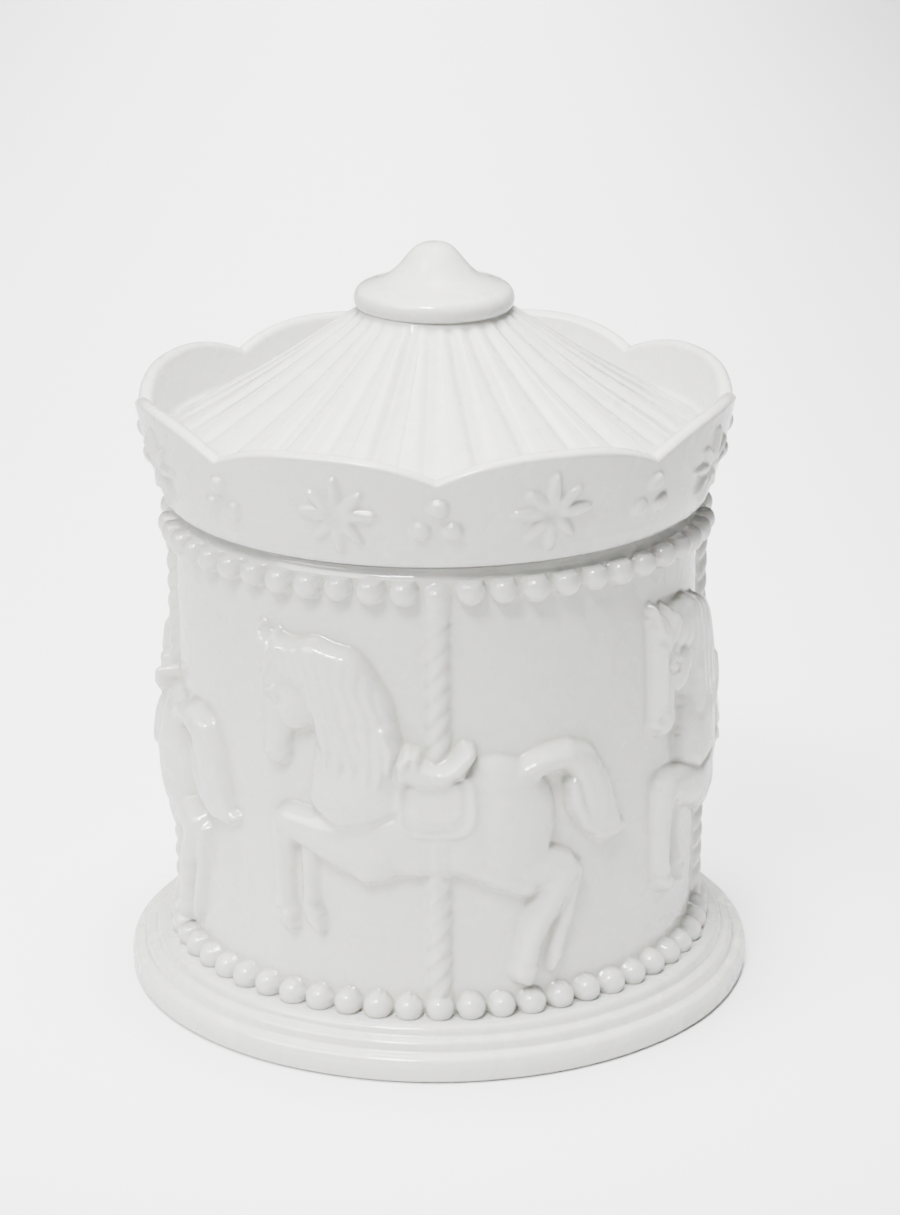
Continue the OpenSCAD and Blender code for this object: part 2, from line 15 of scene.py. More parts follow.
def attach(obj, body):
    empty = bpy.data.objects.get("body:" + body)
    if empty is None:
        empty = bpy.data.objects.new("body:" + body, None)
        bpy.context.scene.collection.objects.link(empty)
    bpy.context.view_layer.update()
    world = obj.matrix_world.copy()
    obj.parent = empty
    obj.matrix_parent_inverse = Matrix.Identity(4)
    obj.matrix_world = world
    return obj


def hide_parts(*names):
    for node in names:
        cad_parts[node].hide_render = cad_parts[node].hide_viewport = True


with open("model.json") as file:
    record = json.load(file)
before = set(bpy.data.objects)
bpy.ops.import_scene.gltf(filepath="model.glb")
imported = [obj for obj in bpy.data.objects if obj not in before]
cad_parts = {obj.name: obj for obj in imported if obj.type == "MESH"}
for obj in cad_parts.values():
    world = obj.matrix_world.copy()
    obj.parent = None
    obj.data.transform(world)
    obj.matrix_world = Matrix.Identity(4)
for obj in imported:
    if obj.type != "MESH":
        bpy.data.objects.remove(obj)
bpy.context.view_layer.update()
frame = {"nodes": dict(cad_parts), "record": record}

MM = 0.001
LOW = -50.0  # height of what isn't there, well under any surface
HORSES = 4
SCALLOPS = 8
DRUM_R = 54.0
DRUM_IN_R = 49.5
WALL_LOW, WALL_HIGH = 9.7, 101.2
DRUM_TOP = 103.6
SPREAD_R = 57.5  # radius at which distances round the horses are counted
POLE_R = 2.9
POLE_SINK = -0.6  # the pole's axis lies this far inside the wall's face
BEAD_R = 2.85
TOP_BEADS, LOW_BEADS = 53, 55  # places in a row; the top row leaves some empty for the poles
TOP_BEAD_Z, LOW_BEAD_Z = 99.2, 11.6
CANOPY_Z = 104.4
CREST_Z, NOTCH_Z = 127.6, 122.8
SCALLOP_R, NOTCH_REACH = 60, 23.5  # a notch's dip ends this far from its middle
GROOVES, GROOVE_TURN = 28, 10.2  # the first roof groove stands at this azimuth, in degrees
ROOF_IN, ROOF_OUT = (15.0, 143.0), (56.6, 115.9)
ROOF_THICKNESS = 4.8
BAND_LOW = 105.0
BAND_Z = [BAND_LOW, 107.6, 111.0, 115.0, 119.0, 123.0, 127.6]
BAND_R = [56.1, 57.2, 58.3, 59.3, 60.3, 61.1, 61.9]
RIM = 1.7  # radius of the band's rolled edge
GUTTER_R, GUTTER_Z = 56.9, 117  # where the back of the band meets the roof
DECOR_R = 59.3  # radius at which distances round the band are counted
DOTS = [(0.4, 117.3), (-3.0, 112.5), (3.2, 112.4)]  # distance from a notch, and height
DOT_R, DOT_RISE = 2.05, 1.35
STAR_Z, PETALS, PETAL_REACH, PETAL_RISE = 115.1, 8, 8.7, 1.05
STEP = 0.3
COLUMNS = HORSES * int(round(2 * math.pi * DRUM_R / STEP / HORSES))
HALF_SCALLOP = math.pi / SCALLOPS
ROOF_SLOPE = (ROOF_IN[1] - ROOF_OUT[1]) / (ROOF_OUT[0] - ROOF_IN[0])


# ---- Relief drawing: fields of height over a grid of (sideways, up) ----


def smooth_max(a, b, k):
    """The higher of two fields, with the crease between them filled where they differ by less than k."""
    return np.maximum(a, b) + np.maximum(k - np.abs(a - b), 0) ** 2 / (4 * k)


def blur(field, sigma, wrap):
    """Softens a grid of heights by sigma, in grid steps."""
    reach = int(3 * sigma) + 1
    kernel = np.exp(-0.5 * (np.arange(-reach, reach + 1) / sigma) ** 2)
    kernel /= kernel.sum()
    sides = [((reach, reach), (0, 0)), ((0, 0), (reach, reach))]
    for axis in (0, 1):
        padded = np.pad(field, sides[axis], mode="wrap" if wrap and axis else "edge")
        parts = [padded.take(range(i, i + field.shape[axis]), axis) * k for i, k in enumerate(kernel)]
        field = sum(parts)
    return field


def limb(u, z, path, base=0.0, power=2.4):
    """Height of a round-backed form along a path of (u, z, radius, height), and the place across it."""
    height = np.full(u.shape, LOW)
    across = np.zeros(u.shape)
    for (u0, z0, r0, h0), (u1, z1, r1, h1) in zip(path, path[1:]):
        du, dz = u1 - u0, z1 - z0
        length = math.hypot(du, dz)
        t = np.clip(((u - u0) * du + (z - z0) * dz) / length**2, 0, 1)
        d = np.hypot(u - u0 - t * du, z - z0 - t * dz) / (r0 + t * (r1 - r0))
        top = h0 + t * (h1 - h0)
        h = np.where(d < 1, base + (top - base) * np.sqrt(np.clip(1 - d**power, 0, 1)), LOW)
        side = ((u - u0) * dz - (z - z0) * du) / length
        across = np.where(h > height, side, across)
        height = np.maximum(height, h)
    return height, across


def blob(u, z, cu, cz, ru, rz, height, base=0.0, turn=0.0, power=2.4):
    """Height of an elliptical mound."""
    c, s = math.cos(math.radians(turn)), math.sin(math.radians(turn))
    x, y = (u - cu) * c + (z - cz) * s, (z - cz) * c - (u - cu) * s
    d = np.hypot(x / ru, y / rz)
    return np.where(d < 1, base + (height - base) * np.sqrt(np.clip(1 - d**power, 0, 1)), LOW)


def ramp(x, low, high):
    """Smooth step from 0 at low to 1 at high."""
    t = np.clip((x - low) / (high - low), 0, 1)
    return t * t * (3 - 2 * t)


def panel(u, z, cu, cz, half_u, half_z, corner):
    """Distance inside the edge of a rounded rectangle, negative outside."""
    x, y = np.abs(u - cu) - half_u + corner, np.abs(z - cz) - half_z + corner
    return -(np.hypot(np.maximum(x, 0), np.maximum(y, 0)) + np.minimum(np.maximum(x, y), 0) - corner)


def groove(u, z, path, width, depth):
    """Depth of a soft line scored along a path of (u, z)."""
    near = np.full(u.shape, 1e3)
    for (u0, z0), (u1, z1) in zip(path, path[1:]):
        du, dz = u1 - u0, z1 - z0
        t = np.clip(((u - u0) * du + (z - z0) * dz) / (du * du + dz * dz), 0, 1)
        near = np.minimum(near, np.hypot(u - u0 - t * du, z - z0 - t * dz))
    return depth * np.exp(-((near / width) ** 2))


def trunk(u, z):
    """Barrel, shoulder, neck and rump, run together."""
    parts = [
        blob(u, z, 11.4, 51.8, 13.8, 13.2, 5.5, power=2),
        blob(u, z, 15, 46.4, 8.8, 10.6, 5, turn=10, power=2),
        limb(u, z, [(-13, 50.8, 11, 4.5), (8, 51.2, 11.4, 4.6)], power=2)[0],
        blob(u, z, -16.6, 55.8, 11.2, 10.6, 5.3, power=2),
        limb(u, z, [(-16.4, 61, 10.8, 4.8), (-17, 68, 9.2, 4.2), (-19.6, 75.6, 8.8, 3.9),
                    (-24.6, 80.2, 7.8, 3.6)], power=2)[0],
    ]
    body = parts[0]
    for part in parts[1:]:
        body = smooth_max(body, part, 1.3)
    belly = limb(u, z, [(-15, 41.4, 3.6, 3.8), (-9, 43.6, 3.4, 3), (5, 43.6, 3.4, 3), (14, 39.8, 3.9, 3.7),
                        (18, 38.2, 3.6, 3.8)], power=2)[0]
    body = smooth_max(body, belly, 1.4)
    body -= groove(u, z, [(-26, 52.6), (-20.5, 49.8), (-13, 51.6), (-8.4, 54)], 0.9, 0.95)
    body -= groove(u, z, [(9.5, 43.5), (12.5, 41), (17, 40)], 1.1, 0.4)
    body -= groove(u, z, [(9, 64), (9.6, 56), (9.2, 48)], 2.2, 0.4)
    return body


def head(u, z):
    """Long face, cheek, muzzle, eye and ears."""
    face = limb(u, z, [(-34.4, 83, 4.9, 3.4), (-33.9, 77, 4.9, 3.7), (-34.8, 70.8, 4, 3.5),
                       (-35.3, 66.4, 3.4, 3.4)], base=0.6, power=2)[0]
    cheek = blob(u, z, -30.4, 74.6, 5.6, 6.2, 4.5, base=1, turn=-35, power=2)
    muzzle = blob(u, z, -35.4, 64.2, 3.6, 3.4, 3.9, base=0.4, turn=12, power=2)
    skull = smooth_max(smooth_max(face, cheek, 0.5), muzzle, 0.9)
    crest = limb(u, z, [(-37.2, 80, 1.3, 3.9), (-36.8, 73, 1.2, 3.9), (-36.8, 67.6, 1.2, 3.8)])[0]
    skull = smooth_max(skull, crest, 0.8)
    skull -= blob(u, z, -34, 76.2, 2.7, 1.9, 0.7, turn=-20).clip(0)
    eye = blob(u, z, -34, 75.9, 1.3, 1.05, 4.4, base=3.2, turn=-20)
    lid = limb(u, z, [(-36, 76.4, 0.5, 3.9), (-34.3, 77.8, 0.7, 4.6), (-32.1, 76.7, 0.6, 4.2)])[0]
    skull = np.maximum(smooth_max(skull, lid, 0.5), eye)
    skull -= groove(u, z, [(-33.4, 73), (-32.2, 68.6)], 0.8, 0.35)
    skull -= blob(u, z, -37.2, 64.9, 0.8, 1.1, 1, turn=-25).clip(0)
    skull -= groove(u, z, [(-38.8, 62.6), (-36, 62.3), (-33, 64)], 0.4, 0.6)
    near_ear = limb(u, z, [(-36.6, 83.6, 2, 4), (-38.2, 86.4, 1.6, 3.8), (-39.3, 89.2, 0.5, 2.8)], base=1)[0]
    near_ear -= groove(u, z, [(-37, 84), (-38.7, 88)], 0.5, 0.7)
    far_ear = limb(u, z, [(-33.8, 85.8, 1.5, 3.6), (-35.2, 88.4, 0.5, 2.8)], base=1)[0]
    return np.maximum(np.maximum(skull, near_ear), far_ear)


def strands(across, along, seed):
    """Uneven hair lines: 0 on a lock's back, up to 1 in the lines between locks."""
    drift = 0.5 * np.sin(along * 0.33 + seed) + 0.3 * np.sin(along * 0.71 + across * 0.4 + 2 * seed)
    place = across + drift
    coarse = np.abs(np.sin(place * 1.25 + seed)) ** 0.7
    fine = np.abs(np.sin(place * 2.9 + 1.7 * seed + 0.6 * np.sin(along * 0.5))) ** 0.8
    return 1 - 0.62 * coarse - 0.38 * fine


def mane(u, z):
    """Hair that falls from the crest of the neck, with a lock over the forehead."""
    mass = limb(u, z, [(-31.5, 83, 4.2, 4.5), (-26, 82.4, 5.8, 4.9), (-20.4, 79.4, 7.4, 5),
                       (-16.8, 73.6, 7.6, 5), (-14.6, 67.4, 6.8, 5.1), (-13.6, 63, 4.8, 5)],
                base=1.8, power=2)[0]
    inner = limb(u, z, [(-22.4, 77.6, 4.2, 4.8), (-21.2, 69, 3.6, 4.9), (-20, 63, 2.6, 4.9)], base=3.4)[0]
    mass = smooth_max(mass, inner, 0.8)
    lean = u + 0.10 * (z - 70) + 0.006 * (z - 70) ** 2
    from_crest = 87.6 - z - 0.012 * (u + 24) ** 2
    mass = np.where(mass > 0, mass - (0.1 + 0.66 * ramp(from_crest, 0, 6)) * strands(lean, z, 0.7), mass)
    tips = np.full(u.shape, LOW)
    ends = [(-22.6, 63.4), (-20, 60.8), (-17.2, 59.2), (-14.4, 58.8), (-11.8, 59.8), (-9.8, 62.8)]
    for i, (tip_u, tip_z) in enumerate(ends):
        bend = 0.7 * math.sin(2.2 * i)
        path = [(tip_u - 0.4 + bend, tip_z + 8, 1.5, 5), (tip_u + 0.5, tip_z + 4, 1.2, 5.3),
                (tip_u, tip_z, 0.5, 5.2)]
        tips = np.maximum(tips, limb(u, z, path, base=3.6)[0])
    forelock = limb(u, z, [(-33.4, 85.4, 1.6, 4.5), (-35.6, 82.2, 1.4, 4.3), (-36.4, 79.6, 0.6, 3.8)],
                    base=2.6)[0]
    return np.maximum(np.maximum(mass, tips), forelock)


def saddle(u, z, under):
    """Blanket with a border, seat, pommel and rolled cantle, over the trunk."""
    edge = panel(u, z, -0.4, 56.4, 8.1, 7.2, 5)
    cloth = under + 0.6 * ramp(edge, -0.2, 0.7)
    cloth += 0.3 * np.exp(-(((edge - 1.1) / 0.5) ** 2)) - 0.25 * np.exp(-(((edge - 2.3) / 0.5) ** 2))
    inner = panel(u, z, -0.2, 57.4, 5.1, 5, 3.8)
    cloth += 0.4 * ramp(inner, 0, 0.8)
    seat = limb(u, z, [(-5.6, 62.6, 2.2, 4.9), (-2.4, 61.8, 2.2, 4.7), (1.4, 61.9, 1.9, 4.9)], base=2.6)[0]
    pommel = limb(u, z, [(-7.2, 61.6, 1.2, 5), (-7.1, 64.2, 1.4, 5.2), (-6, 66, 1.2, 4.9)], base=2.4)[0]
    horn = limb(u, z, [(-4.6, 65.8, 1, 4.7), (-4.2, 64, 0.9, 4.7), (-4.8, 62.6, 0.8, 4.7)], base=2.4)[0]
    cantle = limb(u, z, [(0.8, 62.2, 1.4, 5), (3.6, 63.4, 1.9, 5.3), (6, 66.2, 1.7, 5.2)], base=2.4)[0]
    cantle -= groove(u, z, [(1.4, 63.6), (3.6, 64.9), (5.2, 67.4)], 0.4, 0.4)
    girth = 0.25 * ramp(1.7 - np.abs(u - 0.4), 0, 0.5) * ramp(z, 41, 42) * (1 - ramp(z, 48.5, 50))
    over = np.maximum(np.maximum(seat, pommel), np.maximum(horn, cantle))
    top = np.maximum(smooth_max(cloth + girth, seat, 0.5), over)
    return np.where(under > 1, np.maximum(top, under), over)


def tail(u, z):
    """Arched tail with the hair scored along it."""
    path = [(16.8, 60.2, 2.6, 3.4), (20, 62, 2.7, 4), (23.4, 63.2, 2.7, 4.3), (27.4, 63.4, 3, 4.4),
            (31.4, 61, 3.8, 4.2), (33.8, 56, 4.4, 4.1), (35.4, 51, 4.9, 3.9), (37, 47.6, 4.4, 3.4)]
    height, across = limb(u, z, path, base=0.5, power=2)
    height = np.where(height > 0, height - 0.5 * strands(across * 0.9, z - 0.6 * u, 2.1), height)
    tip = limb(u, z, [(35.2, 47, 3.2, 3.3), (39.2, 45.8, 2.4, 3), (42.2, 45.4, 1, 2.2)], base=0.5)[0]
    curl = limb(u, z, [(28.8, 57.4, 1.6, 3.5), (29.6, 52.6, 2, 3.5), (32.2, 48.2, 2, 3.3),
                       (36, 45.4, 1.6, 3.1)], base=0.6)[0]
    return smooth_max(smooth_max(height, tip, 0.6), curl, 0.4)


def legs(u, z):
    """Four legs and hooves, the far pair lower than the near pair."""
    far_fore = limb(u, z, [(-28.2, 46, 2.2, 2.3), (-28.2, 36, 1.8, 2), (-28, 31.8, 1.9, 2.4)], power=2)[0]
    far_hoof = limb(u, z, [(-28, 31.6, 2, 2.5), (-26.9, 29.2, 2.3, 2.8), (-25.6, 26.8, 1.2, 2.4)],
                    base=0.3)[0]
    far_fore = smooth_max(far_fore, far_hoof, 0.4) - groove(u, z, [(-29.4, 29.6), (-25, 31.2)], 0.5, 0.4)
    far_hind = limb(u, z, [(29.6, 38.6, 2.2, 2.6), (28, 31, 2, 2.3), (25.8, 24, 1.9, 2.2),
                           (25, 20.6, 1.9, 2.4), (24.2, 18, 1, 2)], power=2)[0]
    arm = limb(u, z, [(-13.5, 45.4, 7.2, 4.7), (-20.5, 46, 5.7, 4.6), (-28, 48, 4.3, 4.1),
                      (-32.6, 48.8, 3.8, 3.9)], power=2)[0]
    cannon = limb(u, z, [(-33.6, 48.4, 3.5, 3.8), (-34.3, 43.6, 2.9, 3.3), (-34.4, 38, 2.4, 2.8),
                         (-34.2, 31.8, 2.5, 2.9)], power=2)[0]
    cannon -= groove(u, z, [(-33.1, 45), (-33, 32)], 0.5, 0.35)
    near_hoof = limb(u, z, [(-34.2, 31, 2.4, 3), (-33.4, 28.6, 2.5, 3.3), (-32.2, 26.4, 1.2, 2.8)],
                     base=0.5)[0]
    near_hoof -= groove(u, z, [(-36.8, 29.2), (-31.6, 30.6)], 0.5, 0.5)
    fore = smooth_max(smooth_max(arm, cannon, 0.7), near_hoof, 0.3)
    thigh = limb(u, z, [(15, 44, 6.6, 4.3), (20, 41.2, 4.9, 4.1), (26.4, 39.2, 4, 3.9)], power=2)[0]
    shin = limb(u, z, [(26.6, 38.8, 4, 3.9), (23.8, 34, 3.8, 3.7), (21, 29, 3.3, 3.5), (19.2, 24, 2.8, 3.2),
                       (18.8, 21.4, 2.8, 3.3)], power=2)[0]
    hind_hoof = limb(u, z, [(18.4, 20.4, 2.8, 3.3), (18, 18.4, 2.9, 3.6), (18.6, 16.6, 1.5, 3)], base=0.5)[0]
    hind_hoof -= groove(u, z, [(15, 20.6), (21.4, 19.8)], 0.5, 0.4)
    hind = smooth_max(smooth_max(thigh, shin, 0.8), hind_hoof, 0.3)
    return far_fore, far_hind, fore, hind


def pole(u, z):
    """Rope-twisted pole with a smooth end at the top."""
    x = np.clip(u / POLE_R, -1, 1)
    strand = np.abs(np.sin(math.pi * (z - 0.95 * np.arcsin(x) * POLE_R) / 4.3))
    plain = ramp(z, 93.5, 95)
    radius = POLE_R - (1 - plain) * 0.8 * (1 - strand) ** 1.3
    end = np.sqrt(np.clip(1 - (np.maximum(z - 98.2, 0) / 2.4) ** 2, 0, 1))
    inside = np.clip(1 - (u / np.maximum(radius * end, 0.01)) ** 2, 0, 1)
    return np.where(inside > 0, POLE_SINK + radius * end * np.sqrt(inside), LOW)


def horse_relief(u, z):
    """One horse on its pole, as height above the drum's wall."""
    far_fore, far_hind, fore, hind = legs(u, z)
    body = trunk(u, z)
    field = pole(u, z)
    for part in (far_fore, far_hind):
        field = np.maximum(field, part)
    whole = smooth_max(np.maximum(body, hind), fore, 0.7)
    whole = smooth_max(whole, tail(u, z), 1.2)
    whole = np.maximum(whole, mane(u, z))
    whole = np.maximum(whole, head(u, z))
    whole = saddle(u, z, whole)
    return smooth_max(np.maximum(field, whole), np.zeros(u.shape), 0.7)


def sway(azimuth, z, size):
    """Slow unevenness of a hand-finished casting."""
    return size * (np.sin(3 * azimuth + z * 0.05) + np.sin(7 * azimuth - z * 0.11 + 1.3)
                   + np.sin(12 * azimuth + z * 0.19 + 2.1)) / 3


def bead_row(azimuth, z, count, row_z, gap):
    """Spheres half sunk in the wall, left out where a pole stands."""
    number = np.round(azimuth / (2 * math.pi) * count)
    centre = number * 2 * math.pi / count
    pitch = 360 / HORSES
    from_pole = np.abs((np.degrees(centre) + pitch / 2) % pitch - pitch / 2)
    size = BEAD_R * (1 + 0.03 * np.sin(number * 2.4))
    side = (azimuth - centre) * (DRUM_R + 1)
    d2 = side**2 + (z - row_z - 0.15 * np.sin(number * 1.7)) ** 2
    height = 0.9 + np.sqrt(np.clip(size**2 - d2, 0, None))
    return np.where((d2 < size**2) & (from_pole > gap), height, LOW)


# ---- Meshes ----


def chaikin(points, times=2):
    """Rounds the corners of an open outline and keeps its ends."""
    for _ in range(times):
        new = [points[0]]
        for a, b in zip(points, points[1:]):
            new += [tuple(0.75 * p + 0.25 * q for p, q in zip(a, b)),
                    tuple(0.25 * p + 0.75 * q for p, q in zip(a, b))]
        points = new + [points[-1]]
    return points


def columns():
    """Azimuths of a ring's points, starting half way between two horses."""
    return (np.arange(COLUMNS) / COLUMNS - 0.5 / HORSES) * 2 * math.pi


def ring(azimuth, r, z):
    """One ring of points at radius r and height z, which may be numbers or arrays."""
    one = np.ones(azimuth.shape)
    return np.stack([r * np.sin(azimuth), -r * np.cos(azimuth), z * one], axis=1)


def skin(name, rings, closed):
    """Joins rings into a watertight mesh. closed joins the last ring to the first, otherwise a ring whose
    points meet on the axis becomes one point. Returns the object and each ring's first vertex number."""
    points, starts, sizes = [], [], []
    for r in rings:
        apex = np.abs(r[:, :2]).max() < 1e-6
        starts.append(sum(sizes))
        sizes.append(1 if apex else len(r))
        points.append(r[:1] if apex else r)
    faces = []
    n = len(rings[0])
    j = np.arange(n)
    k = (j + 1) % n
    triangles = []
    for i in range(len(rings) if closed else len(rings) - 1):
        a, b = starts[i], starts[(i + 1) % len(rings)]
        if sizes[i] == 1:
            triangles.append(np.stack([np.full(n, a), b + k, b + j], axis=1))
        elif sizes[(i + 1) % len(rings)] == 1:
            triangles.append(np.stack([a + j, a + k, np.full(n, b)], axis=1))
        else:
            faces.append(np.stack([a + j, a + k, b + k, b + j], axis=1))
    quads = np.concatenate(faces)
    tris = np.concatenate(triangles) if triangles else np.zeros((0, 3), int)
    loops = np.concatenate([quads.ravel(), tris.ravel()])
    starts_of = np.concatenate([np.arange(len(quads)) * 4, len(quads) * 4 + np.arange(len(tris)) * 3])
    mesh = bpy.data.meshes.new(name)
    vertices = np.concatenate(points) * MM
    mesh.vertices.add(len(vertices))
    mesh.vertices.foreach_set("co", vertices.ravel())
    mesh.loops.add(len(loops))
    mesh.loops.foreach_set("vertex_index", loops.astype(np.int32))
    mesh.polygons.add(len(starts_of))
    mesh.polygons.foreach_set("loop_start", starts_of.astype(np.int32))
    mesh.update(calc_edges=True)
    mesh.validate()
    mesh.polygons.foreach_set("use_smooth", np.ones(len(mesh.polygons), bool))
    thing = bpy.data.objects.new(name, mesh)
    bpy.context.collection.objects.link(thing)
    return thing, starts


def paint(thing, name, values):
    """Stores one number a vertex, for the material to read."""
    layer = thing.data.attributes.new(name, "FLOAT", "POINT")
    layer.data.foreach_set("value", values.astype(np.float32))


def hollows(field, step, wrap=True):
    """How deep each point lies under its surroundings, from 0 to 1."""
    near = blur(field, 0.9 / step, wrap) - field
    wide = blur(field, 2.6 / step, wrap) - field
    return np.clip(0.9 * near + 0.28 * wide, 0, 1)


def build_drum():
    azimuth = columns()
    one_horse = azimuth[: COLUMNS // HORSES]
    rows = int(round((WALL_HIGH - WALL_LOW) / STEP))
    levels = WALL_LOW + (WALL_HIGH - WALL_LOW) * np.arange(rows + 1) / rows
    u, z = np.meshgrid(one_horse * SPREAD_R, levels)
    relief = np.tile(horse_relief(u, z), (1, HORSES))
    relief = blur(relief, 0.33 / STEP, True)
    a, z = np.meshgrid(azimuth, levels)
    for count, row_z, gap in ((LOW_BEADS, LOW_BEAD_Z, -1), (TOP_BEADS, TOP_BEAD_Z, 3.6)):
        relief = smooth_max(relief, bead_row(a, z, count, row_z, gap), 0.5)
    relief += sway(a, z, 0.12) * ramp(z, WALL_LOW, WALL_LOW + 3) * (1 - ramp(z, WALL_HIGH - 3, WALL_HIGH))
    foot = chaikin([(57.8, 0.0), (60.5, 0.0), (64.6, 0.0), (65.6, 0.5), (65.8, 1.7), (65.8, 3.8),
                    (65.3, 5.2), (64.1, 5.6), (63.2, 5.6), (63.0, 6.6), (62.6, 7.7), (61.4, 7.9),
                    (60.7, 8.0), (60.4, 9.0), (59.8, 9.8), (58.2, 9.8), (DRUM_R, WALL_LOW)])
    mouth = chaikin([(DRUM_R, WALL_HIGH), (53.6, 101.9), (53.1, 102.6), (52.9, 103.3), (52.2, DRUM_TOP),
                     (51.8, DRUM_TOP), (51.6, 104.2), (51.6, 106.6), (51.0, 107.0), (50.0, 107.0),
                     (DRUM_IN_R, 106.4)])
    inside = [(DRUM_IN_R, 98), (DRUM_IN_R, 90), (47.2, 90), (47.2, 88), (DRUM_IN_R, 85), (DRUM_IN_R, 40),
              (DRUM_IN_R, 21), (30, 21), (6, 21), (6, 16), (30, 16)]
    recess = chaikin([(47, 16), (49.3, 14.5), (50, 11), (54.5, 7), (57.4, 2.5)])
    rings = [ring(azimuth, r + sway(azimuth, z, 0.1), z) for r, z in foot[:-1]]
    first_wall = len(rings)
    rings += [ring(azimuth, DRUM_R + relief[i], levels[i]) for i in range(rows + 1)]
    rings += [ring(azimuth, r, z) for r, z in mouth[1:] + inside + recess]
    thing, starts = skin("drum_glaze", rings, closed=True)
    # Depth in the hollows of the relief, which the glaze turns into darker colour: partly glaze pooling,
    # partly painted shade
    pooling_and_shade = np.zeros(len(thing.data.vertices))
    cavity = hollows(relief, STEP)
    pooling_and_shade[starts[first_wall]: starts[first_wall] + cavity.size] = cavity.ravel()
    paint(thing, "pooling_and_shade", pooling_and_shade)
    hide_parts("drum_casting")
    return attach(thing, "casing")


def star(side, up):
    """Long petals round a centre, every other one a little shorter."""
    height = np.full(side.shape, LOW)
    for i in range(PETALS):
        turn = math.radians(i * 360 / PETALS + 90 + 4 * math.sin(i * 2.3))
        along = side * math.cos(turn) + up * math.sin(turn)
        across = up * math.cos(turn) - side * math.sin(turn)
        reach = PETAL_REACH - 0.9 * (i % 2) + 0.3 * math.sin(i * 3.1)
        t = np.clip(along / reach, 0, 1)
        width = 1.3 * np.sqrt(np.clip(np.sin(math.pi * t**0.9), 0, 1)) + 0.01
        inside = np.clip(1 - (across / width) ** 2, 0, 1)
        petal = PETAL_RISE * np.sqrt(inside) * ramp(along, 0.6, 3.2) * ramp(reach - along, 0, 1.2)
        height = np.maximum(height, petal)
    return height


def past_notch(azimuth):
    """Angle from the nearest notch of the band's edge."""
    return (azimuth + HALF_SCALLOP) % (2 * HALF_SCALLOP) - HALF_SCALLOP


def band_decor(azimuth, z):
    """Stars under the scallops and three dots under each notch."""
    side = past_notch(azimuth) * DECOR_R
    height = np.zeros(azimuth.shape)
    for dot_side, dot_z in DOTS:
        d2 = (side - dot_side) ** 2 + (z - dot_z) ** 2
        height = np.maximum(height, DOT_RISE * np.sqrt(np.clip(1 - d2 / DOT_R**2, 0, 1)))
    from_star = azimuth % (2 * HALF_SCALLOP) - HALF_SCALLOP
    which = np.floor(azimuth / (2 * HALF_SCALLOP))
    # Every star was set by hand, the one left of the front well off centre
    slip = np.where(which < 0, 3.8, 1.2 * np.sin(which * 2.1 + 3.6))
    return np.maximum(height, star(from_star * DECOR_R - slip, z - STAR_Z))


def scallop(azimuth):
    """Height of the band's edge."""
    u = np.abs(past_notch(azimuth)) * SCALLOP_R
    dip = (CREST_Z - NOTCH_Z) * np.clip(1 - u / NOTCH_REACH, 0, 1) ** 2.4
    return CREST_Z - dip + 0.2 * np.sin(5 * azimuth + 1)


def roof_height(azimuth, r):
    """The ribbed tent between the collar and the band, as height."""
    sag = 1.5 * np.sin(math.pi * ((r - ROOF_IN[0]) / (ROOF_OUT[0] - ROOF_IN[0])) ** 0.7)
    phase = (np.degrees(azimuth) - GROOVE_TURN) / 360 * GROOVES
    from_groove = np.abs(phase - np.round(phase)) * 2 * math.pi * r / GROOVES
    strength = 0.75 + 0.25 * np.sin(np.round(phase) * 2.7 + 0.4)
    fade = ramp(r, ROOF_IN[0], ROOF_IN[0] + 2.5) * (1 - ramp(r, 47, 54))
    cut = 0.9 * strength * np.exp(-((from_groove / 1.1) ** 2))
    swell = 0.7 * strength * np.abs(np.sin(math.pi * phase)) ** 0.9 * ramp(r, ROOF_IN[0], 24)
    return ROOF_IN[1] - (r - ROOF_IN[0]) * ROOF_SLOPE - sag + fade * (swell - cut)


